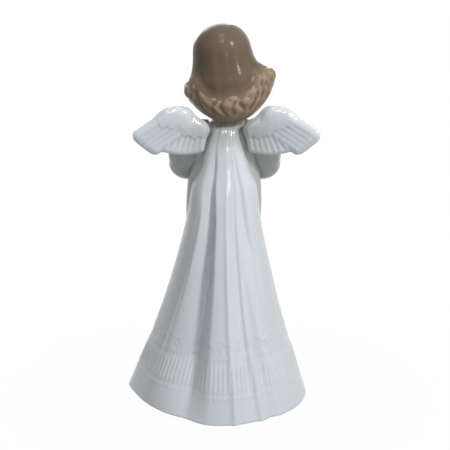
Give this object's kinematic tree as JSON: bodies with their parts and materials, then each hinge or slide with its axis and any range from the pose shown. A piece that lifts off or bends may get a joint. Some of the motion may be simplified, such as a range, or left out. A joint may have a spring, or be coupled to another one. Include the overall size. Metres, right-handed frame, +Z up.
{
  "type": "angel figurine",
  "caption": "Glazed porcelain angel with a pleated bell-shaped gown, raised feathered wings, bobbed brown hair and hands pressed together, standing on the rim of its hollow hem.",
  "frame": {"origin": "on the floor below the middle of the figure's box", "axes": "+Z up, the angel faces -Y, +X towards the angel's left"},
  "size_m": [0.1016, 0.0954, 0.1999],
  "materials": {
    "porcelain": "gloss",
    "hair_glaze": "gloss",
    "flesh_glaze": "gloss"
  },
  "bodies": {
    "root": {"gown": "porcelain", "left_wing": "porcelain", "right_wing": "porcelain", "left_sleeve": "porcelain", "right_sleeve": "porcelain", "left_hand": "flesh_glaze", "right_hand": "flesh_glaze", "head": "flesh_glaze", "hair_crown": "hair_glaze", "hair_roll": "hair_glaze", "left_flick": "hair_glaze", "right_flick": "hair_glaze", "fringe": "hair_glaze"}
  },
  "joints": []
}
